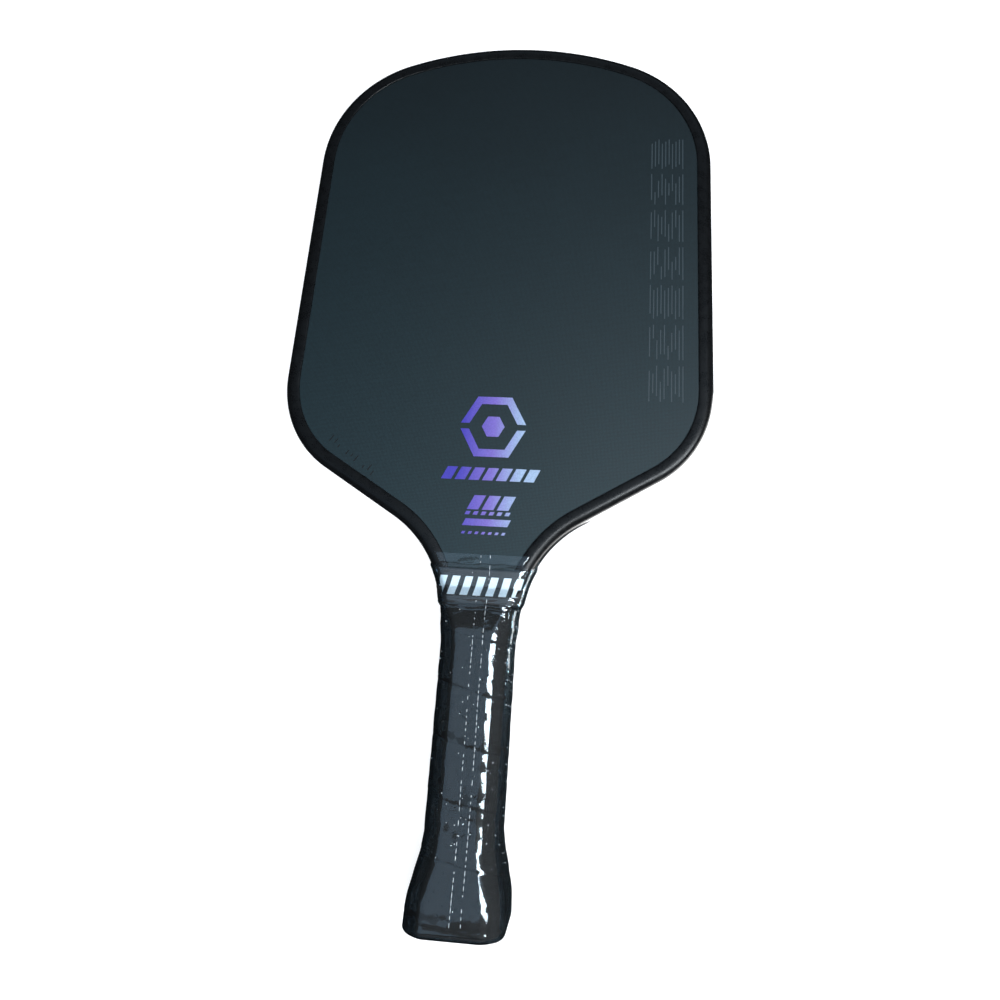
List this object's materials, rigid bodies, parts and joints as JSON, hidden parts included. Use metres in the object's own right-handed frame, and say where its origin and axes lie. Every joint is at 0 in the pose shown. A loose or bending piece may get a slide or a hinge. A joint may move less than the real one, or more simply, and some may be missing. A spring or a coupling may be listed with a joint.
{
  "type": "pickleball paddle",
  "caption": "Paddle with a flat laminated honeycomb head, a channel guard round its edge and a flared, wrapped handle under clear film.",
  "frame": {"origin": "centre of the butt's end face, on the handle's axis and in the head's mid plane", "axes": "+Y along the handle towards the head, +Z out of the front hitting face, +X to the right seen from the front"},
  "size_m": [0.2032, 0.4025, 0.0348],
  "materials": {
    "core_polymer": "translucent white extruded polypropylene",
    "scrim": "non-woven bonding scrim",
    "glass_ply": "resin-soaked glass cloth",
    "carbon_face": "raw peel-ply textured carbon, matte, blue-black",
    "face_ink": "screen ink, violet to pale blue gradient",
    "edge_rubber": "smooth satin black elastomer",
    "adhesive_tape": "double-sided tape",
    "pallet_foam": "dense structural foam",
    "cap_plastic": "moulded black plastic, fine grain",
    "staple_steel": "zinc-coated steel wire",
    "label_film": "domed glossy sticker, plain",
    "grip_leather": "perforated cushioned synthetic leather, tacky",
    "finishing_film": "stretchy black tape",
    "collar_rubber": "satin black rubber",
    "collar_ink": "white print",
    "shrink_film": "clear glossy shrink film, crinkled"
  },
  "bodies": {
    "root": {"honeycomb_core": "core_polymer", "front_scrim": "scrim", "back_scrim": "scrim", "front_glass_ply": "glass_ply", "back_glass_ply": "glass_ply", "front_carbon_skin": "carbon_face", "back_carbon_skin": "carbon_face", "front_print": "face_ink", "back_print": "face_ink", "edge_guard_tape": "adhesive_tape", "edge_guard": "edge_rubber", "front_handle_pallet": "pallet_foam", "back_handle_pallet": "pallet_foam", "butt_cap": "cap_plastic", "butt_cap_staples": "staple_steel", "end_label": "label_film", "grip_tack": "staple_steel", "grip_wrap": "grip_leather", "finishing_tape": "finishing_film", "grip_collar": "collar_rubber", "collar_print": "collar_ink", "shrink_sleeve": "shrink_film"}
  },
  "joints": []
}
